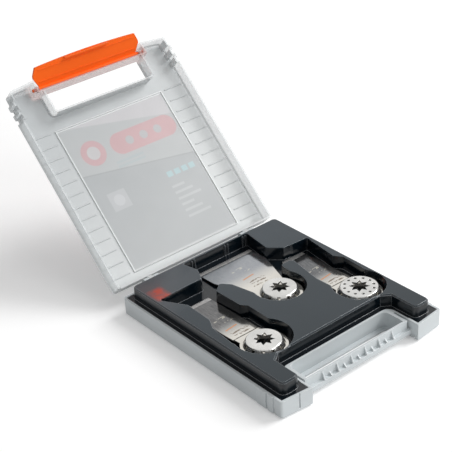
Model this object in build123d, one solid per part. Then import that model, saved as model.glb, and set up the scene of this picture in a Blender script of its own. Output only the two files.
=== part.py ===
from build123d import *
import math
import os

# Saw blade storage case, millimetres. X runs along the hinge, -Y is the handle side, +Z is up.
# The origin is the middle of the base's flat bottom. The lid and the latch are drawn shut and
# then turned to the open pose about their own hinge axes.

# ---- case halves, plan ----
CASE_W = 177.6            # across the plain side walls
CASE_BACK_Y = 100.2       # outer face of the back wall
CASE_FRONT_Y = -100.8     # front face of a corner block at its outer end
BLOCK_SLANT = 2.8         # how far the block's front face runs out towards the middle
BLOCK_IN_X = 59.0         # inner side of a corner block
BACK_CORNER_R = 3.0
FRONT_CORNER_R = 2.0

# ---- base ----
BASE_H = 16.45
BASE_WALL = 2.0
BASE_FLOOR = 1.8
BASE_FOOT_CHAMFER = 1.2
BASE_BAR_Y = -93.1        # outer face of the base's handle bar
LEDGE_Z = 14.9            # shelf that carries the insert's flange
LEDGE_W = 1.3
GRIP_OUT = 0.6            # how far the grip pads stand out of the side wall
GRIP_IN = 0.8             # depth of the grooves between them
GRIP_RAMP = 0.5           # sloped run beside a groove
GRIP_FROM_Y = -73.0
GRIP_GROOVES = ((-83.0, -85.2), (-91.0, -92.8))
GROOVE_X = 71.6           # upright groove in the block's front face
GROOVE_W = 1.6
GROOVE_DEPTH = 0.7
GROOVE_Z0 = 3.0
LUG_L = 1.8               # foot lug at the block's inner lower corner
LUG_W = 1.6
LUG_Z = (2.4, 3.8)
RIB_PITCH = 28.0          # stiffening ribs on the base's floor
RIB_T = 1.2
RIB_H = 6.0

# ---- handle window ----
WINDOW_X = 54.0
WINDOW_BACK_Y = -70.2
WINDOW_FRONT_Y = -91.3
WINDOW_R = 5.5
WINDOW_WALL = 1.6
WINDOW_SILL = 4.0         # low flange at the foot of the window's back wall
HANDLE_WALL = 1.5         # wall between a block and the handle
LID_WINDOW_R = 2.5
SLOT_IN_X = 57.1          # slot between the handle loop and the block
SLOT_BACK_Y = -77.0

# ---- base bar: lower rail and gussets ----
RAIL_OUT = 3.1            # rail's reach in front of the bar
RAIL_Z0 = 4.0
RAIL_T = 4.6
GUSSET_T = 1.2
GUSSET_PITCH = 15.5
GUSSET_TALL_Z = 16.0      # top of the tall gussets
GUSSET_LOW_Z = 11.6        # top of the low gussets between them
GUSSET_FOOT = 0.6         # gusset's front edge above the rail
GUSSET_COUNT = 6          # tall gussets; one low gusset fewer stands between them

# ---- hinge ----
HINGE_Y = 104.2
HINGE_Z = 17.5
HINGE_IN = 33.8           # middle of a hinge inside the side wall
HINGE_R = 3.2
HINGE_SIDE_GAP = 0.25
KNUCKLE_L = 5.0
ARM_REACH = 9.4           # how far a knuckle's arm runs down or up its wall
ARM_OUT = 0.8             # arm's stand-out at its far end
ARM_SHOULDER = 1.5
ARM_LIFT = 0.4            # lid's arm above the lid's rim
PIN_R = 1.25
PIN_RUN = 0.06            # radial play in the lid's knuckle
PIN_HOLD = 0.02           # radial play in the base's knuckles
OPEN_DEG = 135.69

# ---- lid ----
RIM_GAP = 0.35
LID_H = 13.74
LID_WALL = 1.8
LID_PANEL = 1.6
LID_SIDE = -0.6           # lid's extra width per side
LID_BAR_Y = -93.3
LID_WINDOW_BACK_Y = -69.5
LID_TOP_CHAMFER = 0.9
NOTCH_DEPTH = 2.2
NOTCH_W = 4.6
NOTCH_RAMP = 0.8
NOTCH_Y = (-75.5, -84.5)
LID_NOSE_IN = 2.0         # lid's narrowing at its front corners
LID_NOSE_Y = -92.8
LID_NOSE_RAMP = 1.6
FIELD_X = 60.0            # framed field inside the panel
FIELD_BACK_Y = 90.5
FIELD_FRONT_Y = -55.5
FRAME_T = 1.0
FRAME_H = 0.9
RUNG_PITCH = 12.0
RUNG_IN_X = 64.0
RUNG_T = 1.0
RUNG_H = 0.4

# ---- label ----
LABEL_T = 0.35
LABEL_SINK = 0.5
LABEL_EDGE = 2.0          # label's edge inside the framed field
LABEL_PLAY = 0.15

# ---- latch ----
LATCH_Y = -96.5           # latch axis with the lid shut
LATCH_UP = 7.0            # latch axis above the lid's rim
LATCH_OPEN_DEG = 48.0
LATCH_BARREL_R = 1.9
LATCH_END_GAP = 0.4       # barrel's end to the boss
LATCH_T = 1.8
LATCH_RAIL_GAP = 0.9      # panel's inner face to the rail
LATCH_NECK_X = 53.0
LATCH_WIDE_X = 58.4
LATCH_WIDE_DOWN = 10.0
LATCH_LOW_UP = 9.2        # end of the latch's straight side above its free edge
LATCH_TOE_X = 55.3
LATCH_TOE_UP = 1.8        # toe above the middle of the arched free edge
LATCH_EDGE = 0.6          # free edge below the hook
HOOK_X = 24.0
HOOK_T = 1.0
HOOK_REACH = 1.9          # hook's reach under the rail
HOOK_GAP = 0.3
PEG_R = 1.5
PEG_RUN = 0.05
PEG_OUT = 0.6             # peg's reach past the block's wall
BOSS_R = 2.9              # round boss in the lid that carries a peg
BOSS_L = 3.4
LATCH_RIB_DOWN = (6.0, 17.0)
LATCH_RIB_H = 0.45
LATCH_RIB_T = 1.0

# ---- insert ----
SHEET = 1.0
INSERT_TOP_Z = 27.08
INSERT_X = 82.0
INSERT_BACK_Y = 95.2
INSERT_FRONT_Y = -95.3
INSERT_R = 4.5
INSERT_EDGE = 1.2         # bevel round the top
FLANGE_SLACK = 0.35
SEAT_GAP = 0.05
PRONG_X = 64.6
FOLD_Y = -62.6
FOLD_X = 57.0
PRONG_CUT_Y = -68.5
DRAFT = 3.0
BAY_FLOOR_Z = 14.5
BAY_R = 2.4
HUB_SEAT_R = 16.4
RIB_PAIR_X = (-17.0, 21.0, 42.0)
RIB_PAIR_GAP = 3.2        # between the two upright ribs of a pair
RIB_PAIR_W = 1.1
RIB_PAIR_OUT = 1.3
RIB_PAIR_DOWN = 2.0       # ribs' top below the insert's top

# ---- blades ----
HUB_TOP_Z = 24.3
HUB_DROP = 5.0            # hub's top above the blade sheet
HUB_PLATE_T = 1.5
HUB_WALL = 1.4
HUB_EDGE = 0.6
HUB_SKIRT_OUT = 2.4
HUB_NOTCHES = 12
HUB_NOTCH_W = 2.6
STAR_COUNT = 8
STAR_R = 9.05
STAR_IN_R = 5.5
SHEET_STEEL = 1.2
RING_R = 19.7
NECK_IN = 4.0             # neck's start inside the ring
WIDEN_RUN = 16.0          # run over which a straight blade widens
EYE_R = 11.5              # hole in the blade sheet below the hub
PIP_COUNT = 12
PIP_R = 1.3
PIP_SIDES = 8
PIP_CIRCLE_R = 12.7
STRIP_L = 5.0             # toothed strip
TOOTH_L = 1.6
TOOTH_LEAN = 0.55         # tooth's tip along its pitch
CRANK_DROP = 1.0
CRANK_RUN = 2.0

LEFT = dict(x=-50.1, y=-38.3, hub_r=15.0, neck=13.0, half=13.6, tip=87.5, flare=0.0,
            crank=21.0, tilt=1.4, teeth=16, pips=False)
CENTRE = dict(x=9.9, y=9.1, hub_r=15.0, neck=17.0, half=30.0, tip=75.0, flare=52.0,
              crank=0.0, tilt=2.4, teeth=30, pips=False)
RIGHT = dict(x=58.0, y=-37.6, hub_r=16.5, neck=12.6, half=12.2, tip=84.5, flare=0.0,
             crank=21.0, tilt=1.4, teeth=12, pips=True)

# ---- cutting tools ----
OVER = 1.0                # a cutter's reach past the face it opens
FAR = 200.0               # beyond every face of the case

# ---- sizes that follow ----
HINGE_X = CASE_W / 2 - HINGE_IN
LID_RIM_Z = BASE_H + RIM_GAP
LID_TOP_Z = LID_RIM_Z + LID_H
LATCH_Z = LID_RIM_Z + LATCH_UP
LATCH_END_X = BLOCK_IN_X - BOSS_L - LATCH_END_GAP
RAIL_Y = BASE_BAR_Y - RAIL_OUT
LATCH_IN_Y = RAIL_Y - LATCH_RAIL_GAP
LATCH_LEN = LATCH_Z - (RAIL_Z0 - HOOK_GAP - HOOK_T) + LATCH_EDGE
LATCH_LOW_DOWN = LATCH_LEN - LATCH_LOW_UP
LATCH_TOE_DOWN = LATCH_LEN - LATCH_TOE_UP
HANDLE_BACK_Y = WINDOW_BACK_Y + WINDOW_WALL
HANDLE_X = BLOCK_IN_X + HANDLE_WALL
FLANGE_Z0 = LEDGE_Z + SEAT_GAP


def box(x0, x1, y0, y1, z0, z1):
    """Box between two corners."""
    return Pos(x0, y0, z0) * Box(x1 - x0, y1 - y0, z1 - z0, align=(Align.MIN, Align.MIN, Align.MIN))


def polygon(points):
    return Sketch() + make_face(Polyline(*points, close=True))


def mirrored(points):
    """Closed plan polygon from the points of its +X half, back to front."""
    return points + [(-x, y) for x, y in reversed(points)]


def prism(sketch, z0, z1, taper=0.0):
    """Extrude a plan sketch from z0 to z1; the sketch is the outline at z0."""
    return extrude(Pos(0, 0, z0) * sketch, amount=z1 - z0, taper=taper)


def corners(sketch, points, radius):
    """Round the sketch's corners that lie at the given points."""
    near = [v for v in sketch.vertices() if any(math.dist((v.X, v.Y), p) < 0.01 for p in points)]
    return fillet(near, radius=radius)


def with_mirror(shape):
    """A shape of the +X side and its mirror image."""
    return [shape, mirror(shape, about=Plane.YZ)]


def web(side, x, thick):
    """Upright plate of a (y, z) side profile, centred on x."""
    face = make_face(Polyline(*[(x - thick / 2, y, z) for y, z in side], close=True))
    return extrude(face, amount=thick, dir=(1, 0, 0))


def bar_along_x(x, y, z, radius, length):
    """Round bar that lies along X, centred on a point."""
    return Pos(x, y, z) * Rot(0, 90, 0) * Cylinder(radius, length)


# ---------------------------------------------------------------- case outlines
def grip_side(half):
    """Side wall of the base by the front corner: low pads with upright grooves between."""
    out = half + GRIP_OUT
    deep = half - GRIP_IN
    pts = [(half, GRIP_FROM_Y + GRIP_RAMP), (out, GRIP_FROM_Y)]
    for back, front in GRIP_GROOVES:
        pts += [(out, back), (deep, back - GRIP_RAMP), (deep, front + GRIP_RAMP), (out, front)]
    pts[-1] = (half, GRIP_GROOVES[-1][1])
    return pts


def notched_side(half):
    """Side wall of the lid by the front corner: two finger notches, then a narrower nose."""
    pts = []
    for y in NOTCH_Y:
        top = y + NOTCH_W / 2
        low = y - NOTCH_W / 2
        deep = half - NOTCH_DEPTH
        pts += [(half, top), (deep, top - NOTCH_RAMP), (deep, low + NOTCH_RAMP), (half, low)]
    return pts + [(half, LID_NOSE_Y + LID_NOSE_RAMP), (half - LID_NOSE_IN, LID_NOSE_Y)]


def case_outline(half, side, front_half, bar_y):
    """Plan of one half of the case."""
    pts = [(half, CASE_BACK_Y)] + side
    pts += [(front_half, CASE_FRONT_Y), (BLOCK_IN_X, CASE_FRONT_Y - BLOCK_SLANT), (BLOCK_IN_X, bar_y)]
    plan = polygon(mirrored(pts))
    plan = corners(plan, [(half, CASE_BACK_Y), (-half, CASE_BACK_Y)], BACK_CORNER_R)
    return corners(plan, [(front_half, CASE_FRONT_Y), (-front_half, CASE_FRONT_Y)], FRONT_CORNER_R)


def base_outline(pads=True):
    half = CASE_W / 2
    return case_outline(half, grip_side(half) if pads else [], half, BASE_BAR_Y)


def lid_outline():
    half = CASE_W / 2 + LID_SIDE
    return case_outline(half, notched_side(half), half - LID_NOSE_IN, LID_BAR_Y)


def window_plan(back_y, front_y, radius, grow=0.0):
    """Handle window with its back corners rounded."""
    x = WINDOW_X + grow
    back = back_y + grow
    plan = polygon([(-x, back), (x, back), (x, front_y), (-x, front_y)])
    return corners(plan, [(-x, back), (x, back)], radius + grow)


def handle_zone(grow=0.0):
    """Plan that the base's handle and its walls take up."""
    x = HANDLE_X + grow
    back = HANDLE_BACK_Y + grow
    low = CASE_FRONT_Y - CASE_W / 4
    plan = polygon([(-x, back), (x, back), (x, low), (-x, low)])
    return corners(plan, [(-x, back), (x, back)], WINDOW_R + WINDOW_WALL + grow)


def base_inside(inset):
    """Plan inside the base's walls, drawn in by an inset from the plain outer faces."""
    plain = base_outline(pads=False)
    return offset(plain, amount=-inset, kind=Kind.INTERSECTION) - handle_zone(inset - BASE_WALL)


# ---------------------------------------------------------------- base
def gusset(x, top):
    """Upright web from the bar's face to the rail's edge."""
    root = BASE_BAR_Y + BASE_WALL / 2
    side = [(root, RAIL_Z0), (RAIL_Y, RAIL_Z0), (RAIL_Y, RAIL_Z0 + RAIL_T + GUSSET_FOOT),
            (BASE_BAR_Y, top), (root, top)]
    return web(side, x, GUSSET_T)


def base_bar():
    """Lower rail between the blocks, with tall and low gussets in turn on it."""
    bits = [box(-BLOCK_IN_X, BLOCK_IN_X, RAIL_Y, BASE_BAR_Y + BASE_WALL / 2, RAIL_Z0, RAIL_Z0 + RAIL_T)]
    for tops, count in ((GUSSET_TALL_Z, GUSSET_COUNT), (GUSSET_LOW_Z, GUSSET_COUNT - 1)):
        bits += [gusset((k - (count - 1) / 2) * GUSSET_PITCH, tops) for k in range(count)]
    return bits


def block_details():
    """What to cut and what to add at the blocks: slots and the left groove, foot lugs."""
    slot = box(SLOT_IN_X, BLOCK_IN_X, BASE_BAR_Y - OVER, SLOT_BACK_Y, -OVER, BASE_H + OVER)
    groove = box(-GROOVE_X - GROOVE_W / 2, -GROOVE_X + GROOVE_W / 2, CASE_FRONT_Y - BLOCK_SLANT,
                 CASE_FRONT_Y - BLOCK_SLANT / 2 + GROOVE_DEPTH, GROOVE_Z0, BASE_H + OVER)
    lug = box(BLOCK_IN_X - LUG_L, BLOCK_IN_X + OVER, CASE_FRONT_Y, CASE_FRONT_Y + LUG_W, *LUG_Z)
    return with_mirror(slot) + [groove], with_mirror(lug)


def base_knuckle(x):
    """One knuckle of the base's hinge, on an arm from the back wall."""
    barrel = bar_along_x(x, HINGE_Y, HINGE_Z, HINGE_R, KNUCKLE_L)
    root = CASE_BACK_Y - BASE_WALL / 2
    shoulder = BASE_H - ARM_SHOULDER
    foot = HINGE_Z - ARM_REACH
    side = [(root, foot), (CASE_BACK_Y + ARM_OUT, foot + ARM_OUT), (HINGE_Y + HINGE_R, HINGE_Z),
            (HINGE_Y - PIN_R / 2, HINGE_Z), (CASE_BACK_Y, shoulder), (root, shoulder)]
    return barrel + web(side, x, KNUCKLE_L)


def base_knuckle_xs():
    step = KNUCKLE_L + HINGE_SIDE_GAP
    return [s * HINGE_X + d * step for s in (-1, 1) for d in (-1, 1)]


def floor_ribs():
    """Cross ribs that stiffen the floor under the insert."""
    inner = CASE_W / 2 - BASE_WALL
    top = BASE_FLOOR + RIB_H
    middles = [(k + 0.5) * RIB_PITCH for k in range(-2, 3)]
    return [box(-inner, inner, y - RIB_T / 2, y + RIB_T / 2, BASE_FLOOR / 2, top) for y in middles]


def make_base():
    outline = base_outline()
    body = prism(outline, 0, BASE_H)
    body = chamfer(body.faces().sort_by(Axis.Z)[0].outer_wire().edges(), BASE_FOOT_CHAMFER)
    body -= prism(base_inside(BASE_WALL + LEDGE_W), BASE_FLOOR, BASE_H + OVER)
    body -= prism(base_inside(BASE_WALL), LEDGE_Z, BASE_H + OVER)
    body += floor_ribs()
    body -= prism(window_plan(WINDOW_BACK_Y, WINDOW_FRONT_Y, WINDOW_R), BASE_FLOOR, BASE_H + OVER)
    body -= prism(window_plan(WINDOW_BACK_Y - WINDOW_SILL, WINDOW_FRONT_Y, WINDOW_R), -OVER, BASE_H + OVER)
    cuts, lugs = block_details()
    body -= cuts
    body += lugs + base_bar()
    body += [base_knuckle(x) for x in base_knuckle_xs()]
    for s in (-1, 1):
        body -= bar_along_x(s * HINGE_X, HINGE_Y, HINGE_Z, PIN_R + PIN_HOLD, KNUCKLE_L * 4)
    return body


def make_pin(side):
    length = 3 * KNUCKLE_L + 2 * HINGE_SIDE_GAP
    return bar_along_x(side * HINGE_X, HINGE_Y, HINGE_Z, PIN_R, length)


# ---------------------------------------------------------------- lid, drawn shut
def lid_knuckle(x):
    """The lid's middle knuckle, on an arm from the lid's back wall."""
    barrel = bar_along_x(x, HINGE_Y, HINGE_Z, HINGE_R, KNUCKLE_L)
    root = CASE_BACK_Y - LID_WALL / 2
    low = LID_RIM_Z + ARM_LIFT
    top = LID_RIM_Z + ARM_REACH
    side = [(root, low), (HINGE_Y, low), (HINGE_Y + HINGE_R, HINGE_Z), (CASE_BACK_Y + ARM_OUT, top - ARM_OUT),
            (root, top)]
    bore = bar_along_x(x, HINGE_Y, HINGE_Z, PIN_R + PIN_RUN, KNUCKLE_L * 2)
    return barrel + web(side, x, KNUCKLE_L) - bore


def field_frame():
    """Low rib round the panel's field and the rungs of its side strips, inside the lid."""
    under = LID_TOP_Z - LID_PANEL
    z1 = under + LID_PANEL / 8
    z0 = under - FRAME_H
    outer = box(-FIELD_X, FIELD_X, FIELD_FRONT_Y, FIELD_BACK_Y, z0, z1)
    inner = box(-FIELD_X + FRAME_T, FIELD_X - FRAME_T, FIELD_FRONT_Y + FRAME_T, FIELD_BACK_Y - FRAME_T,
                z0 - OVER, z1 + OVER)
    bits = [outer - inner]
    count = int((FIELD_BACK_Y - FIELD_FRONT_Y) / RUNG_PITCH)
    out_x = CASE_W / 2 + LID_SIDE - LID_WALL / 2
    for k in range(count + 1):
        y = FIELD_FRONT_Y + k * RUNG_PITCH
        bits += with_mirror(box(RUNG_IN_X, out_x, y, y + RUNG_T, under - RUNG_H, z1))
    return bits


def make_lid():
    outline = lid_outline()
    body = prism(outline, LID_RIM_Z, LID_TOP_Z)
    body = chamfer(body.faces().sort_by(Axis.Z)[-1].outer_wire().edges(), LID_TOP_CHAMFER)
    hollow = offset(outline, amount=-LID_WALL, kind=Kind.INTERSECTION)
    hollow -= window_plan(LID_WINDOW_BACK_Y, LID_BAR_Y - OVER, LID_WINDOW_R, LID_WALL)
    body -= prism(hollow, LID_RIM_Z - OVER, LID_TOP_Z - LID_PANEL)
    window = window_plan(LID_WINDOW_BACK_Y, LID_BAR_Y + LID_WALL, LID_WINDOW_R)
    body -= prism(window, LID_RIM_Z - OVER, LID_TOP_Z + OVER)
    body += field_frame()
    body += [bar_along_x(s * (BLOCK_IN_X - BOSS_L / 2 + LID_WALL / 4), LATCH_Y, LATCH_Z, BOSS_R,
                         BOSS_L + LID_WALL / 2) for s in (-1, 1)]
    body -= label_box(0.0, LID_TOP_Z + OVER)
    body -= bar_along_x(0, LATCH_Y, LATCH_Z, PEG_R + PEG_RUN, 2 * (HANDLE_X + OVER))
    body += [lid_knuckle(s * HINGE_X) for s in (-1, 1)]
    return body


def label_box(play, top):
    """The label's recess, or with some play the label itself."""
    edge = LABEL_EDGE + play
    return box(-FIELD_X + edge, FIELD_X - edge, FIELD_FRONT_Y + edge, FIELD_BACK_Y - edge,
               LID_TOP_Z - LABEL_SINK, top)


def make_label():
    return label_box(LABEL_PLAY, LID_TOP_Z - LABEL_SINK + LABEL_T)


# ---------------------------------------------------------------- latch, drawn shut
def make_latch():
    arc = ThreePointArc((LATCH_TOE_X, -LATCH_TOE_DOWN), (0, -LATCH_LEN), (-LATCH_TOE_X, -LATCH_TOE_DOWN))
    left = [(-x, y) for x, y in latch_side()]
    top = Line((-LATCH_NECK_X, 0), (LATCH_NECK_X, 0))
    plan = make_face([Polyline(*latch_side()), arc, Polyline(*reversed(left)), top])
    plane = Plane(origin=(0, LATCH_IN_Y, LATCH_Z), x_dir=(1, 0, 0), z_dir=(0, -1, 0))
    panel = extrude(plane * plan, amount=LATCH_T)
    body = panel + bar_along_x(0, LATCH_Y, LATCH_Z, LATCH_BARREL_R, 2 * LATCH_END_X)
    hook_top = RAIL_Z0 - HOOK_GAP
    body += box(-HOOK_X, HOOK_X, LATCH_IN_Y - LATCH_T / 2, RAIL_Y + HOOK_REACH, hook_top - HOOK_T, hook_top)
    for down in LATCH_RIB_DOWN:
        z = LATCH_Z - down
        body += box(-LATCH_NECK_X, LATCH_NECK_X, LATCH_IN_Y - LATCH_T / 2, LATCH_IN_Y + LATCH_RIB_H,
                    z - LATCH_RIB_T / 2, z + LATCH_RIB_T / 2)
    return body + bar_along_x(0, LATCH_Y, LATCH_Z, PEG_R, 2 * (BLOCK_IN_X + LID_WALL + PEG_OUT))


def latch_side():
    """Right-hand edge of the latch, from its neck down to its toe."""
    return [(LATCH_NECK_X, 0), (LATCH_WIDE_X, -LATCH_WIDE_DOWN), (LATCH_WIDE_X, -LATCH_LOW_DOWN),
            (LATCH_TOE_X, -LATCH_TOE_DOWN)]


# ---------------------------------------------------------------- insert
def insert_plan(inset=0.0):
    """Plan of the raised part of the insert, two prongs beside the handle."""
    fold = FOLD_X + inset * math.tan(math.radians(22.5))
    pts = [(INSERT_X - inset, INSERT_BACK_Y - inset), (INSERT_X - inset, INSERT_FRONT_Y + inset),
           (PRONG_X + inset, INSERT_FRONT_Y + inset), (PRONG_X + inset, PRONG_CUT_Y + inset),
           (fold, FOLD_Y + inset)]
    plan = polygon(mirrored(pts))
    round_at = [p for q in pts[:3] for p in (q, (-q[0], q[1]))]
    return corners(plan, round_at, INSERT_R - inset if inset < INSERT_R / 2 else INSERT_R / 2)


LEFT_BAY = [(-77.2, 62.5), (-77.2, 59.0), (-65.6, 38.9), (-66.6, 9.5), (-72.4, -1.7), (-74.6, -28.0),
            (-72.0, -50.0), (-50.2, -61.0), (-35.0, -55.0), (-26.9, -36.2), (-31.0, -27.1),
            (-30.4, 3.3), (-34.6, 8.9), (-35.2, 38.6), (-26.1, 45.5), (-26.1, 62.5)]
CENTRE_BAY = [(-38.7, 62.5), (-34.0, 50.0), (-26.1, 45.5), (-19.2, 36.8), (-14.6, 15.0), (-13.0, -2.0),
              (8.5, -14.0), (29.5, -2.0), (29.4, 12.0), (31.0, 30.5), (50.0, 30.5), (60.0, 49.5),
              (52.0, 50.2), (41.3, 61.0), (44.8, 87.0), (46.0, 93.0), (-29.0, 93.0), (-25.6, 75.7),
              (-31.4, 62.5)]
RIGHT_BAY = [(43.6, 49.9), (43.6, 27.2), (37.7, -7.4), (38.6, -25.0), (34.9, -37.0), (38.0, -54.0),
             (57.0, -61.0), (76.0, -52.0), (79.2, -37.0), (77.0, -25.4), (78.4, 1.6), (73.4, 9.3),
             (77.1, 39.9), (78.8, 48.0)]
HUB_POCKETS = [(-50.2, -37.4, 24.6), (8.5, 8.0, 23.6), (57.0, -38.0, 23.4)]


def bays():
    """Plan of the three bays and their round hub pockets, corners as drawn."""
    plan = Sketch()
    for pts in (LEFT_BAY, CENTRE_BAY, RIGHT_BAY):
        plan += polygon(pts)
    for x, y, r in HUB_POCKETS:
        plan += Pos(x, y) * Circle(r)
    return plan


def rounded(plan, radius):
    """Round every corner of a plan, inner and outer, by offsetting out, in and out again."""
    for step in (radius, -2 * radius, radius):
        plan = offset(plan, amount=step, kind=Kind.ARC)
    return plan


def seat_frame(blade):
    """Blade's own frame: its hub's top centre, nose down by the blade's tilt."""
    return Pos(blade["x"], blade["y"], HUB_TOP_Z) * Rot(-blade["tilt"], 0, 0)


def hub_seat(blade, wall):
    """Raised round seat for a hub; wall is how far it lies inside the sheet's top face."""
    top = -HUB_DROP - SHEET_STEEL - SEAT_GAP - wall
    depth = HUB_TOP_Z + top - (BAY_FLOOR_Z - SHEET)
    seat = Cylinder(HUB_SEAT_R - wall, depth + 2 * OVER, align=(Align.CENTER, Align.CENTER, Align.MAX))
    raised = seat_frame(blade) * Pos(0, 0, top) * seat
    return raised & box(-FAR, FAR, -FAR, FAR, BAY_FLOOR_Z - SHEET - wall, INSERT_TOP_Z)


def rib_pairs():
    """Short upright ribs in pairs on the back wall of the centre bay."""
    wall = max(y for _, y in CENTRE_BAY)
    xs = [x + s * RIB_PAIR_GAP / 2 for x in RIB_PAIR_X for s in (-1, 1)]
    return [box(x - RIB_PAIR_W / 2, x + RIB_PAIR_W / 2, wall - RIB_PAIR_OUT, wall + SHEET / 2,
                BAY_FLOOR_Z - SHEET / 2, INSERT_TOP_Z - RIB_PAIR_DOWN) for x in xs]


def make_insert():
    floor_under = BAY_FLOOR_Z - SHEET
    body = prism(insert_plan(INSERT_EDGE), INSERT_TOP_Z, INSERT_TOP_Z - INSERT_EDGE, -45)
    body += prism(insert_plan(), INSERT_TOP_Z - INSERT_EDGE, FLANGE_Z0, -DRAFT)
    body += prism(base_inside(BASE_WALL + FLANGE_SLACK), FLANGE_Z0, FLANGE_Z0 + SHEET)
    under = prism(insert_plan(SHEET), INSERT_TOP_Z - SHEET, FLANGE_Z0 - OVER, -DRAFT)
    body -= under
    bay_skin = offset(bays(), amount=SHEET, kind=Kind.INTERSECTION)
    body += prism(bay_skin, INSERT_TOP_Z - SHEET / 2, floor_under, DRAFT)
    body -= prism(rounded(bays(), BAY_R), INSERT_TOP_Z + SEAT_GAP, BAY_FLOOR_Z, DRAFT)
    body += rib_pairs()
    for blade in (LEFT, CENTRE, RIGHT):
        body += hub_seat(blade, 0.0)
        body -= hub_seat(blade, SHEET)
    return body


# ---------------------------------------------------------------- blades
def star(radius, inner, tips):
    pts = []
    for k in range(2 * tips):
        a = math.pi * k / tips
        r = radius if k % 2 == 0 else inner
        pts.append((r * math.cos(a), r * math.sin(a)))
    return polygon(pts)


def make_hub(blade):
    """Pressed hub cup: star hole, sloping skirt with notches, standing on the blade sheet."""
    r = blade["hub_r"]
    foot = r + HUB_SKIRT_OUT
    t = HUB_WALL
    profile = [(0, 0), (r - HUB_EDGE, 0), (r, -HUB_EDGE), (foot, -HUB_DROP), (foot - t, -HUB_DROP),
               (r - t, -HUB_PLATE_T), (0, -HUB_PLATE_T)]
    cup = revolve(make_face(Polyline(*[(x, 0, z) for x, z in profile], close=True)), Axis.Z, 360)
    cup -= prism(star(STAR_R, STAR_IN_R, STAR_COUNT), -HUB_PLATE_T - OVER, OVER)
    for k in range(HUB_NOTCHES):
        cut = Pos(foot, 0, -HUB_DROP) * Box(2 * HUB_SKIRT_OUT + OVER, HUB_NOTCH_W, 2 * (HUB_DROP - t))
        cup -= Rot(0, 0, (k + 0.5) * 360 / HUB_NOTCHES) * cut
    if blade["pips"]:
        for k in range(PIP_COUNT):
            a = 2 * math.pi * k / PIP_COUNT
            spot = Pos(PIP_CIRCLE_R * math.cos(a), PIP_CIRCLE_R * math.sin(a))
            cup -= prism(spot * RegularPolygon(PIP_R, PIP_SIDES), -HUB_PLATE_T - OVER, OVER)
    return cup


def widening(blade):
    """Distances from the hub's centre between which the blade widens."""
    if blade["flare"]:
        return RING_R - NECK_IN, blade["flare"]
    return RING_R, RING_R + WIDEN_RUN


def blade_half_width(blade, y):
    """Half width of the blade at a distance from the hub's centre."""
    start, end = widening(blade)
    k = min(max((y - start) / (end - start), 0.0), 1.0)
    return blade["neck"] + (blade["half"] - blade["neck"]) * k


def sheet_plan(blade):
    ys = [blade["tip"] - STRIP_L, widening(blade)[1], RING_R - NECK_IN, 0.0]
    return polygon(mirrored([(blade_half_width(blade, y), y) for y in ys]))


def crank_levels(blade):
    """Underside of the blade sheet along its length: (y, z) pairs."""
    z = -HUB_DROP - SHEET_STEEL
    if not blade["crank"]:
        return [(-RING_R - OVER, z), (blade["tip"] + OVER, z)]
    y = blade["crank"]
    low = z - CRANK_DROP
    return [(-RING_R - OVER, z), (y, z), (y + CRANK_RUN, low), (blade["tip"] + OVER, low)]


def crank_slab(blade):
    """Sheet-thick slab that follows the blade's crank, wider than the blade."""
    low = crank_levels(blade)
    side = low + [(y, z + SHEET_STEEL) for y, z in reversed(low)]
    half = blade["half"] + RING_R
    face = make_face(Polyline(*[(-half, y, z) for y, z in side], close=True))
    return extrude(face, amount=2 * half, dir=(1, 0, 0))


def make_sheet(blade):
    plan = Circle(RING_R) + sheet_plan(blade) - Circle(EYE_R)
    return prism(plan, -FAR, 0) & crank_slab(blade)


def make_teeth(blade):
    """Toothed strip at the blade's tip."""
    half = blade["half"]
    root = blade["tip"] - STRIP_L
    gullet = blade["tip"] - TOOTH_L
    pitch = 2 * half / blade["teeth"]
    pts = [(-half, root), (-half, gullet)]
    for k in range(blade["teeth"]):
        pts += [(-half + (k + TOOTH_LEAN) * pitch, blade["tip"]), (-half + (k + 1) * pitch, gullet)]
    pts += [(half, root)]
    return prism(polygon(pts), -FAR, 0) & crank_slab(blade)


def save(name, shape):
    solids = shape.solids()
    whole = solids[0] if len(solids) == 1 else Compound(children=list(solids))
    whole.label = name
    export_step(whole, "parts/" + name + ".step")
    print(name, len(solids), "solid(s)", round(whole.volume, 1))


def opened_lid(shape):
    """Turn a piece that rides on the lid from shut to open."""
    return shape.rotate(Axis((0, HINGE_Y, HINGE_Z), (1, 0, 0)), -OPEN_DEG)


def opened_latch(shape):
    return shape.rotate(Axis((0, LATCH_Y, LATCH_Z), (1, 0, 0)), -LATCH_OPEN_DEG)


def main():
    os.makedirs("parts", exist_ok=True)
    save("base_tray", make_base())
    save("hinge_pin_left", make_pin(-1))
    save("hinge_pin_right", make_pin(1))
    save("lid_shell", opened_lid(make_lid()))
    save("lid_label", opened_lid(make_label()))
    save("latch", opened_lid(opened_latch(make_latch())))
    save("insert_tray", make_insert())
    for name, blade in (("left", LEFT), ("centre", CENTRE), ("right", RIGHT)):
        seat = seat_frame(blade)
        save(name + "_blade_hub", seat * make_hub(blade))
        save(name + "_blade_sheet", seat * make_sheet(blade))
        save(name + "_blade_teeth", seat * make_teeth(blade))


main()
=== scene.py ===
import bpy
import math
from mathutils import Matrix, Vector

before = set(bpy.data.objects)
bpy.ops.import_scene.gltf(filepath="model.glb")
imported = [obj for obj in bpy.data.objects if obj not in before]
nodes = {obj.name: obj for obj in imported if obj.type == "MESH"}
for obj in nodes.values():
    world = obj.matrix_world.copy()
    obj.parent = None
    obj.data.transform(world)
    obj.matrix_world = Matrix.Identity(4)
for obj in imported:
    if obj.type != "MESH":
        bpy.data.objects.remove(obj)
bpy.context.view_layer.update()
MM = 0.001


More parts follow.
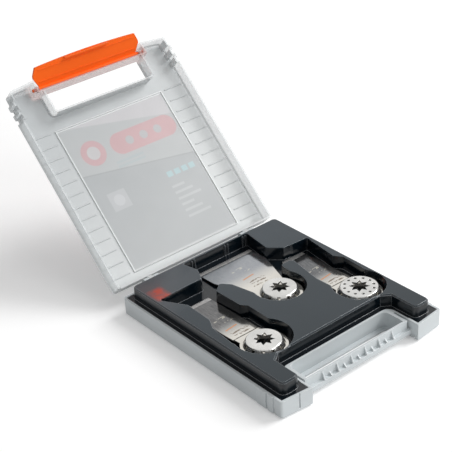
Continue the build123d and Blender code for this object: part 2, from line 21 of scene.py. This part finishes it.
# ------------------------------------------------------------------ node helpers
class Nodes:
    """A node tree, with short calls that add nodes to it."""

    def __init__(self, tree, output):
        self.tree = tree
        self.tree.nodes.clear()
        self.out = self.add(output)

    def add(self, kind, **props):
        n = self.tree.nodes.new(kind)
        for k, v in props.items():
            setattr(n, k, v)
        return n

    def link(self, a, b):
        self.tree.links.new(a, b)

    def put(self, sock, v):
        """Link a socket, or set a plain value on the input."""
        if isinstance(v, bpy.types.NodeSocket):
            self.link(v, sock)
        else:
            sock.default_value = v

    def math(self, op, a, b=0.0):
        n = self.add("ShaderNodeMath", operation=op)
        self.put(n.inputs[0], a)
        self.put(n.inputs[1], b)
        return n.outputs[0]

    def times(self, a, b):
        return self.math("MULTIPLY", a, b)

    def larger(self, a, b):
        return self.math("MAXIMUM", a, b)

    def ramp(self, fac, lo, hi, to_lo=0.0, to_hi=1.0):
        """Straight ramp from to_lo at lo to to_hi at hi, held at both ends."""
        n = self.add("ShaderNodeMapRange")
        self.put(n.inputs["Value"], fac)
        for k, v in (("From Min", lo), ("From Max", hi), ("To Min", to_lo), ("To Max", to_hi)):
            self.put(n.inputs[k], v)
        return n.outputs["Result"]

    def seen(self):
        """1 for camera, glossy and transmission rays, and 0 for light on the object."""
        path = self.add("ShaderNodeLightPath").outputs
        mirrored = self.larger(path["Is Glossy Ray"], path["Is Transmission Ray"])
        return self.larger(path["Is Camera Ray"], mirrored)


class Mat(Nodes):
    """A new material; its masks and patterns are in metres, in the part's own frame."""

    def __init__(self, name):
        self.mat = bpy.data.materials.new(name)
        self.mat.use_nodes = True
        super().__init__(self.mat.node_tree, "ShaderNodeOutputMaterial")
        self.place = self.add("ShaderNodeTexCoord").outputs["Object"]

    def vec(self, op, a, b=(0, 0, 0)):
        n = self.add("ShaderNodeVectorMath", operation=op)
        self.put(n.inputs[0], a)
        self.put(n.inputs[1], b)
        return n.outputs["Value"] if op in ("DOT_PRODUCT", "LENGTH") else n.outputs[0]

    def noise(self, scale, detail=3.0, rough=0.5, at=None, dims=(1, 1, 1)):
        """Noise at scale; a number in dims below 1 draws it out along that axis."""
        src = at or self.place
        if dims != (1, 1, 1):
            src = self.vec("MULTIPLY", src, dims)
        n = self.add("ShaderNodeTexNoise")
        self.link(src, n.inputs["Vector"])
        n.inputs["Scale"].default_value = scale
        n.inputs["Detail"].default_value = detail
        n.inputs["Roughness"].default_value = rough
        return n.outputs["Fac"]

    def mix(self, fac, a, b):
        """Colour a where fac is 0, and b where it is 1."""
        n = self.add("ShaderNodeMix", data_type="RGBA")
        self.put(n.inputs[0], fac)
        self.put(n.inputs[6], a if isinstance(a, bpy.types.NodeSocket) else (*a, 1))
        self.put(n.inputs[7], b if isinstance(b, bpy.types.NodeSocket) else (*b, 1))
        return n.outputs[2]

    def split(self, v=None):
        n = self.add("ShaderNodeSeparateXYZ")
        self.link(v or self.place, n.inputs[0])
        return n.outputs[0], n.outputs[1], n.outputs[2]

    def below(self, v, lo, hi):
        """1 up to lo, falling to 0 at hi."""
        return self.ramp(v, lo, hi, 1.0, 0.0)

    def inside(self, v, lo, hi, soft=0.0002):
        """1 where lo < v < hi, with soft ends."""
        rise = self.ramp(v, lo - soft, lo + soft)
        return self.times(rise, self.below(v, hi - soft, hi + soft))

    def rect(self, x, y, x0, x1, y0, y1, soft=0.0002):
        return self.times(self.inside(x, x0, x1, soft), self.inside(y, y0, y1, soft))

    def disc(self, x, y, cx, cy, r, soft=0.0003):
        dx = self.math("SUBTRACT", x, cx)
        dy = self.math("SUBTRACT", y, cy)
        square = self.math("ADD", self.times(dx, dx), self.times(dy, dy))
        return self.below(self.math("SQRT", square), r - soft, r + soft)

    def bump(self, height, strength, distance, radius=0.0):
        """Bump from height; with a radius, sharp edges also take light as if rounded."""
        n = self.add("ShaderNodeBump")
        n.inputs["Strength"].default_value = strength
        n.inputs["Distance"].default_value = distance
        self.put(n.inputs["Height"], height)
        if radius:
            bev = self.add("ShaderNodeBevel", samples=4)
            bev.inputs["Radius"].default_value = radius
            self.link(bev.outputs[0], n.inputs["Normal"])
        return n.outputs[0]

    def edges(self, radius, lo=0.02, hi=0.15):
        """1 along sharp edges, where a rounded normal leaves the face's own."""
        bev = self.add("ShaderNodeBevel", samples=4)
        bev.inputs["Radius"].default_value = radius
        geo = self.add("ShaderNodeNewGeometry")
        same = self.vec("DOT_PRODUCT", bev.outputs[0], geo.outputs["Normal"])
        return self.below(same, 1 - hi, 1 - lo)

    def finish(self, **values):
        """End in one Principled shader with these inputs; _ stands for a space."""
        p = self.add("ShaderNodeBsdfPrincipled")
        for k, v in values.items():
            self.put(p.inputs[k.replace("_", " ")], v)
        self.link(p.outputs[0], self.out.inputs["Surface"])
        return self.mat


# ------------------------------------------------------------------ base, latch, pins
PAINTED_EDGE_HIGHLIGHT = (0.93, 0.94, 0.95)     # painted highlight colour for thin edges


def plastic(name, colour, rough, vary=0.04, edge_highlight=0.0, **extra):
    """Moulded plastic: fine spark-eroded grain, slight flow marks in colour and gloss, and
    optionally a painted highlight along sharp edges.
    """
    m = Mat(name)
    flow = m.noise(14.0, 4.0, 0.55)
    grain = m.noise(2600.0, 2.0, 0.5)
    dark = tuple(c * (1 - vary) for c in colour)
    light = tuple(min(1.0, c * (1 + vary)) for c in colour)
    col = m.mix(m.ramp(flow, 0.35, 0.65), dark, light)
    speck = m.math("ABSOLUTE", m.ramp(grain, 0.3, 0.7, -0.5, 0.5))
    col = m.mix(m.times(speck, vary), col, dark)
    # painted highlight: sharp edges lightened towards a pale tone
    if edge_highlight:
        col = m.mix(m.times(m.edges(0.0005), edge_highlight), col, PAINTED_EDGE_HIGHLIGHT)
    gloss = m.ramp(m.noise(45.0, 3.0), 0.3, 0.7, rough - 0.05, rough + 0.06)
    nrm = m.bump(grain, 0.35, 0.00003, 0.0004)
    return m.finish(Base_Color=col, Roughness=gloss, Normal=nrm, **extra)


# ------------------------------------------------------------------ lid: milky see-through plastic
AXIS = (0.0, 0.1042, 0.0175)                       # a point on the lid's hinge axis
OPEN = math.radians(135.69)                        # how far the lid stands open at rest
LID_U = (0.0, -math.cos(OPEN), math.sin(OPEN))     # along the open lid, away from the hinge
LID_N = (0.0, math.sin(OPEN), math.cos(OPEN))      # out through the open lid's panel

# The label's invented design, in metres across and along the lid. A rect is given by its
# ends across and along, and a disc by its centre and its radius.
LABEL = (-0.058, 0.058, 0.0157, 0.1577)            # the label's own edges
BAND_S, BAND_SLOPE = 0.1020, 0.15                  # where the pale band begins
TOP_S, TOP_SLOPE = (0.1475, 0.1485), 0.20          # where the pink-white top strip begins
BAR = (-0.006, 0.046, 0.1165, 0.1380)              # red bar, with a round end at each side
BAR_MID, BAR_R = 0.12725, 0.01075
MARKS = [
    *(("disc", (x0, BAR_MID, 0.0042), (0.55, 0.50, 0.52)) for x0 in (0.004, 0.020, 0.036)),
    ("disc", (-0.036, 0.128, 0.0125), (0.93, 0.12, 0.16)),
    ("disc", (-0.036, 0.128, 0.0065), (0.88, 0.80, 0.80)),
    *(("rect", (-0.020, 0.010, s0, s0 + 0.0022), (0.40, 0.55, 0.58)) for s0 in (0.106, 0.1102)),
    *(("rect", (x0, x0 + 0.0062, 0.080, 0.0855), (0.25, 0.82, 0.90))
      for x0 in (0.020, 0.0285, 0.037, 0.0455)),
    ("rect", (-0.046, -0.027, 0.070, 0.088), (0.62, 0.62, 0.65)),
    ("disc", (-0.0365, 0.079, 0.0055), (0.90, 0.90, 0.93)),
    *(("rect", (0.018, 0.044 - 0.006 * (k % 3), 0.0380 + k * 0.0062, 0.0404 + k * 0.0062),
       (0.66, 0.68, 0.69)) for k in range(6)),
]


def lid_place(m):
    """Place on the lid: across, along it from the hinge, and out from the hinge's level."""
    rel = m.vec("SUBTRACT", m.place, AXIS)
    x, _, _ = m.split()
    return x, m.vec("DOT_PRODUCT", rel, LID_U), m.vec("DOT_PRODUCT", rel, LID_N)


def printed(m, x, s):
    """The label's colour: a pale band over a dark field, with round and barred marks."""
    line = m.math("ADD", s, m.times(x, BAND_SLOPE))
    dark = m.mix(m.ramp(m.noise(30.0), 0.3, 0.7), (0.290, 0.310, 0.330), (0.305, 0.325, 0.345))
    pale = m.mix(m.ramp(m.noise(60.0, 3.0), 0.3, 0.7), (0.56, 0.57, 0.57), (0.59, 0.60, 0.60))
    col = m.mix(m.ramp(line, BAND_S - 0.0004, BAND_S + 0.0004), dark, pale)
    col = m.mix(m.inside(line, BAND_S - 0.0006, BAND_S + 0.0006), col, (0.12, 0.13, 0.14))
    top = m.ramp(m.math("ADD", s, m.times(x, TOP_SLOPE)), *TOP_S)
    col = m.mix(top, col, (0.92, 0.84, 0.87))
    red = m.rect(x, s, *BAR)
    for end in BAR[:2]:
        red = m.larger(red, m.disc(x, s, end, BAR_MID, BAR_R))
    col = m.mix(red, col, (0.93, 0.10, 0.13))
    for shape, numbers, colour in MARKS:
        mask = m.disc(x, s, *numbers) if shape == "disc" else m.rect(x, s, *numbers)
        col = m.mix(mask, col, colour)
    return col


def lid_material():
    """Milky shell: a base tone, painted light and see-through tints for its features on it, and
    how far it is seen through.
    """
    m = Mat("lid_milky")
    x, s, t = lid_place(m)
    across = m.math("ABSOLUTE", x)
    cloud = m.noise(9.0, 4.0, 0.5)
    fine = m.noise(2200.0, 2.0)
    col = m.mix(m.ramp(cloud, 0.35, 0.65), (0.460, 0.485, 0.495), (0.478, 0.503, 0.513))

    # painted light: paler towards the hinge and the right, lifting the shade on the lid there
    clear = m.ramp(m.math("SUBTRACT", m.times(x, 0.6), s), -0.235, -0.035)
    col = m.mix(m.math("POWER", clear, 1.4), col, (0.72, 0.74, 0.74))

    # painted see-through: the label as it shows through the panel, with a little painted light
    # over it
    label = m.rect(x, s, *LABEL, 0.0006)
    col = m.mix(m.times(label, 0.24), col, printed(m, x, s))
    col = m.mix(m.times(label, 0.08), col, (0.92, 0.93, 0.95))

    # the bar at the lid's far end, with a painted tint of the orange latch that shows through it
    # from behind
    bar = m.times(m.ramp(s, 0.1925, 0.1955), m.below(across, 0.0615, 0.0650))
    col = m.mix(m.times(bar, 0.34), col, (0.95, 0.36, 0.28))

    # painted highlight on the ends of the handle window
    edge = m.rect(across, s, 0.0538, 0.0560, 0.1827, 0.1917, 0.0003)
    edge = m.times(edge, m.below(t, 0.0004, 0.0009))
    col = m.mix(edge, col, (0.98, 0.98, 0.98))

    # painted light along the raised frame round the label, stronger to the right, lifting the
    # shade beside it
    frame_line = m.larger(m.rect(across, s, 0.0584, 0.0606, 0.0130, 0.1600, 0.0004),
                          m.rect(across, s, -0.001, 0.0606, 0.1576, 0.1600, 0.0004))
    frame_line = m.times(frame_line, m.ramp(x, -0.0584, 0.0584, 0.45, 0.70))
    col = m.mix(frame_line, col, (0.93, 0.95, 0.95))

    # painted light on the rungs beside the frame, lifting the shade on their faces
    step = m.rect(across, t, 0.0612, 0.0830, 0.0100, 0.01125, 0.0001)
    col = m.mix(m.times(step, 0.6), col, (0.62, 0.65, 0.66))

    # the walls under the panel, round the lid and round its handle window: painted paler to lift
    # the shade on them
    outer = m.larger(m.ramp(across, 0.0850, 0.0856), m.ramp(s, 0.2015, 0.2025))
    outer = m.times(outer, m.below(t, 0.0114, 0.0118))
    window = m.larger(m.rect(across, s, -0.001, 0.0575, 0.1722, 0.1770),
                      m.rect(across, s, 0.0530, 0.0575, 0.1722, 0.1950))
    wall = m.larger(outer, m.times(window, m.below(t, 0.0108, 0.0113)))
    col = m.mix(m.times(wall, 0.9), col, (0.84, 0.87, 0.88))

    thin = m.larger(bar, m.times(label, 0.4))
    thin = m.larger(thin, m.times(wall, 1.25))
    alpha = m.ramp(thin, 0.0, 1.25, 0.86, 0.34)
    gloss = m.ramp(m.noise(60.0, 3.0), 0.3, 0.7, 0.46, 0.58)
    nrm = m.bump(fine, 0.3, 0.00002, 0.0008)
    return m.finish(Base_Color=col, Roughness=gloss, Normal=nrm, Alpha=alpha)


def label_material():
    """Printed film with a little paper tooth."""
    m = Mat("label_print")
    x, s, _ = lid_place(m)
    nrm = m.bump(m.noise(700.0, 3.0), 0.2, 0.00002)
    return m.finish(Base_Color=printed(m, x, s), Roughness=0.45, Normal=nrm)


# ------------------------------------------------------------------ insert: glossy formed sheet
INSERT_TOP = (0.0256, 0.0266)      # height over which the walls turn into the top face


def insert_material():
    """Black formed sheet: slow waves in it, a painted reflection paler towards the back, painted
    highlights along its edges and a painted red reflection in one patch.
    """
    m = Mat("insert_black")
    wave = m.noise(26.0, 2.0, 0.4)
    fine = m.noise(900.0, 2.0)
    x, y, z = m.split()

    # painted reflection: darkest to the front, greyest at the back left
    back = m.math("ADD", y, m.ramp(m.noise(12.0), 0.3, 0.7, -0.03, 0.03))
    col = m.mix(m.ramp(back, -0.11, 0.10), (0.002, 0.011, 0.017), (0.016, 0.029, 0.040))
    pad = m.ramp(m.math("SUBTRACT", y, m.times(x, 0.5)), 0.07, 0.11)
    col = m.mix(m.times(pad, 0.8), col, (0.080, 0.088, 0.098))

    # the painted reflection stays on the top face; the walls and floors below keep a near-black
    # tone
    top = m.ramp(z, *INSERT_TOP)
    col = m.mix(top, (0.002, 0.005, 0.008), col)
    # painted highlight along the sheet's edges
    col = m.mix(m.times(m.edges(0.0007, 0.01, 0.10), 0.75), col, (0.30, 0.32, 0.34))

    # painted reflection of a red mark, as one soft patch on the top
    red_reflection = m.times(m.inside(x, -0.079, -0.066, 0.0025), m.inside(y, 0.060, 0.077, 0.0025))
    red_reflection = m.times(red_reflection, m.ramp(m.noise(130.0, 3.0), 0.35, 0.55, 0.4, 1.0))
    col = m.mix(m.times(m.times(red_reflection, top), 0.9), col, (0.42, 0.045, 0.022))

    gloss = m.ramp(m.noise(70.0, 3.0), 0.3, 0.7, 0.11, 0.19)
    height = m.math("ADD", m.times(wave, 0.8), m.times(fine, 0.03))
    nrm = m.bump(height, 0.25, 0.0012, 0.0009)
    return m.finish(Base_Color=col, Roughness=gloss, Normal=nrm, IOR=1.50)


# ------------------------------------------------------------------ blades
ALONG, ACROSS = (1, 0.05, 1), (0.05, 1, 1)     # which way scratches are drawn out
ROW_PITCH = 0.0042                             # between rows of etched dashes


def etched(m, rel, cloud, col):
    """A sheet's marks, placed from its hub: no letters, only bands and broken dashes."""
    x, y, _ = m.split(rel)

    # two pale broken bands past the middle
    pale = m.ramp(m.noise(380.0, 1.0, 0.3, at=rel, dims=(1, 1.6, 1)), 0.52, 0.55)
    bands = m.larger(m.inside(y, 0.0460, 0.0485), m.inside(y, 0.0520, 0.0560))
    pale = m.times(pale, m.times(bands, m.inside(x, -0.008, 0.008)))
    col = m.mix(m.times(pale, 0.5), col, (0.66, 0.63, 0.54))

    # a cream film near the hub, with a ragged end
    ragged = m.math("ADD", y, m.times(cloud, 0.012))
    col = m.mix(m.ramp(ragged, 0.030, 0.050, 0.6, 0.0), col, (0.80, 0.76, 0.68))

    # rows of dark dashes
    dash = m.ramp(m.noise(420.0, 1.0, 0.3, at=rel, dims=(1, 2.2, 1)), 0.53, 0.56)
    zone = m.rect(x, y, -0.0095, 0.0095, 0.0215, 0.0335, 0.0004)
    rows = m.math("SINE", m.times(y, 2 * math.pi / ROW_PITCH))
    ink = m.times(dash, m.times(zone, m.ramp(rows, -0.2, 0.2)))
    col = m.mix(m.times(ink, 0.8), col, (0.20, 0.15, 0.11))

    # the heat line
    line = m.math("SUBTRACT", y, m.times(x, 0.12))
    heat = m.inside(line, 0.0375, 0.0390, 0.0004)
    heat = m.times(heat, m.inside(x, -0.009, 0.004, 0.0006))
    return m.mix(m.times(heat, 0.75), col, (0.62, 0.26, 0.10))


def steel(name, tint, rough, hub=None, tip=None):
    """Ground steel with fine scratches; with a hub and a far-end tone, a marked blade sheet whose
    far end is darkened by a painted reflection.
    """
    m = Mat(name)
    scratch = m.noise(2600.0, 3.0, 0.6, dims=ALONG)
    cloud = m.noise(55.0, 4.0, 0.6)
    light = tuple(min(1.0, c * 1.10) for c in tint)
    dark = tuple(c * 0.86 for c in tint)
    col = m.mix(m.ramp(cloud, 0.3, 0.7), dark, light)
    if hub:
        rel = m.vec("SUBTRACT", m.place, (hub[0] * MM, hub[1] * MM, 0.0))
        _, y, _ = m.split(rel)
        # painted dark reflection, deepening towards the sheet's far end
        col = m.mix(m.ramp(y, 0.024, 0.048, 0.0, 0.9), col, tip)
    col = m.mix(m.ramp(scratch, 0.35, 0.7, 0.0, 0.35), col, dark)
    if hub:
        col = etched(m, rel, cloud, col)
    gloss = m.ramp(cloud, 0.3, 0.7, rough - 0.04, rough + 0.06)
    nrm = m.bump(scratch, 0.25, 0.00002, 0.0003)
    return m.finish(Base_Color=col, Metallic=0.92, Roughness=gloss, Normal=nrm)


def teeth_steel(name):
    """Harder tip strip: cloudy steel, ground across."""
    m = Mat(name)
    scratch = m.noise(3000.0, 3.0, 0.6, dims=ACROSS)
    col = m.mix(m.ramp(m.noise(300.0), 0.3, 0.7), (0.40, 0.39, 0.39), (0.60, 0.59, 0.57))
    col = m.mix(m.ramp(scratch, 0.4, 0.7, 0.0, 0.4), col, (0.30, 0.29, 0.30))
    nrm = m.bump(scratch, 0.3, 0.00002, 0.0002)
    return m.finish(Base_Color=col, Metallic=0.9, Roughness=0.34, Normal=nrm)


# ------------------------------------------------------------------ dressing the pieces
HUB_TINT, HUB_ROUGH = (0.70, 0.695, 0.675), 0.20
SHEET_TINT, SHEET_ROUGH = (0.60, 0.595, 0.58), 0.11
# each blade: its hub's place in mm, and the tone of the painted dark reflection on its far end
BLADES = {
    "left": ((-50.1, -38.3), (0.045, 0.045, 0.050)),
    "centre": ((9.9, 9.1), (0.28, 0.30, 0.33)),
    "right": ((58.0, -37.6), (0.03, 0.035, 0.045)),
}


def dress(node, mat):
    """Put one material on a piece, in the object's own slots."""
    o = nodes[node]
    if not o.material_slots:
        o.data.materials.append(mat)
    for slot in o.material_slots:
        slot.link = "OBJECT"
        slot.material = mat


dress("base_tray", plastic("base_grey", (0.610, 0.650, 0.665), 0.40, edge_highlight=0.9))
pin = plastic("pin_steel", (0.55, 0.55, 0.54), 0.30, vary=0.1, Metallic=1.0)
dress("hinge_pin_left", pin)
dress("hinge_pin_right", pin)
dress("lid_shell", lid_material())
dress("lid_label", label_material())
dress("latch", plastic("latch_orange", (0.97, 0.135, 0.007), 0.42, vary=0.03,
                       Specular_IOR_Level=0.15))
dress("insert_tray", insert_material())
for side, (hub, tip) in BLADES.items():
    dress(side + "_blade_hub", steel(side + "_hub_steel", HUB_TINT, HUB_ROUGH))
    dress(side + "_blade_sheet",
          steel(side + "_sheet_steel", SHEET_TINT, SHEET_ROUGH, hub, tip))
    dress(side + "_blade_teeth", teeth_steel(side + "_teeth_steel"))


# ------------------------------------------------------------------ stage, lights, camera
FLOOR_HALF = 3.0                   # half the floor's side
FLOOR_DROP = 0.0002                # keeps the floor clear of the base's bottom face
FLOOR_GLOW = (0.24, 0.90)          # the floor's own light near the case, and far off
GLOW_REACH = (0.6, 2.0)            # the distances between which it rises
WORLD_LIGHT, WORLD_SEEN = 0.38, 1.0

CAMERA_AT = (-0.58448, -0.67311, 0.61291)
CAMERA_TURN = (-38.4, 30.21, -3.6)     # azimuth, elevation and roll in degrees
FOCAL_PX = 1273.38                     # focal length in the photograph's pixels
FRAME_PX = 452                         # the photograph's side
SENSOR_MM = 36.0


def make_floor():
    """Pale floor that rises to white far off and keeps the case's shadow."""
    mesh = bpy.data.meshes.new("floor")
    h = FLOOR_HALF
    mesh.from_pydata([(-h, -h, 0), (h, -h, 0), (h, h, 0), (-h, h, 0)], [], [(0, 1, 2, 3)])
    floor = bpy.data.objects.new("floor", mesh)
    bpy.context.scene.collection.objects.link(floor)
    floor.location.z = -FLOOR_DROP
    m = Mat("floor_white")
    diff = m.add("ShaderNodeBsdfDiffuse")
    tone = m.mix(m.ramp(m.noise(3.0), 0.3, 0.7), (0.84, 0.84, 0.84), (0.86, 0.86, 0.86))
    m.link(tone, diff.inputs["Color"])
    glow = m.add("ShaderNodeEmission")
    glow.inputs["Color"].default_value = (1, 1, 1, 1)
    strength = m.ramp(m.vec("LENGTH", m.place), *GLOW_REACH, *FLOOR_GLOW)
    m.link(m.times(m.seen(), strength), glow.inputs["Strength"])
    both = m.add("ShaderNodeAddShader")
    m.link(diff.outputs[0], both.inputs[0])
    m.link(glow.outputs[0], both.inputs[1])
    m.link(both.outputs[0], m.out.inputs["Surface"])
    mesh.materials.append(m.mat)


def make_world():
    """White to the camera and in reflections, and plain soft light on the case."""
    world = bpy.data.worlds.new("studio")
    bpy.context.scene.world = world
    world.use_nodes = True
    w = Nodes(world.node_tree, "ShaderNodeOutputWorld")
    sky = w.add("ShaderNodeBackground")
    sky.inputs["Color"].default_value = (1, 1, 1, 1)
    w.link(w.ramp(w.seen(), 0.0, 1.0, WORLD_LIGHT, WORLD_SEEN), sky.inputs["Strength"])
    w.link(sky.outputs[0], w.out.inputs["Surface"])


def area(name, at, aim, size, power):
    """A rectangular lamp at a place, aimed at a point."""
    data = bpy.data.lights.new(name, "AREA")
    data.shape = "RECTANGLE"
    data.size, data.size_y = size
    data.energy = power
    o = bpy.data.objects.new(name, data)
    bpy.context.scene.collection.objects.link(o)
    o.location = at
    o.rotation_mode = "QUATERNION"
    o.rotation_quaternion = (Vector(aim) - Vector(at)).to_track_quat("-Z", "Y")


def make_camera():
    """The photograph's viewpoint, worked out from the case's own straight edges."""
    az, el, roll = (math.radians(a) for a in CAMERA_TURN)
    back = Vector((math.sin(az) * math.cos(el), -math.cos(az) * math.cos(el), math.sin(el)))
    level = Vector((math.cos(az), math.sin(az), 0))
    upright = back.cross(level)
    right = level * math.cos(roll) + upright * math.sin(roll)
    up = upright * math.cos(roll) - level * math.sin(roll)
    data = bpy.data.cameras.new("camera")
    data.sensor_width = SENSOR_MM
    data.lens = FOCAL_PX / FRAME_PX * SENSOR_MM
    data.clip_start, data.clip_end = 0.01, 20
    cam = bpy.data.objects.new("camera", data)
    bpy.context.scene.collection.objects.link(cam)
    place = Matrix((right, up, back)).transposed().to_4x4()
    place.translation = Vector(CAMERA_AT)
    cam.matrix_world = place
    bpy.context.scene.camera = cam


make_floor()
make_world()
area("key", (4.60, -1.30, 4.10), (0, 0.03, 0.02), (3.2, 3.2), 300.0)
area("fill", (1.2, -4.2, 2.4), (0, 0.05, 0.05), (2.4, 1.8), 60.0)
make_camera()
bpy.context.scene.view_settings.view_transform = "Standard"
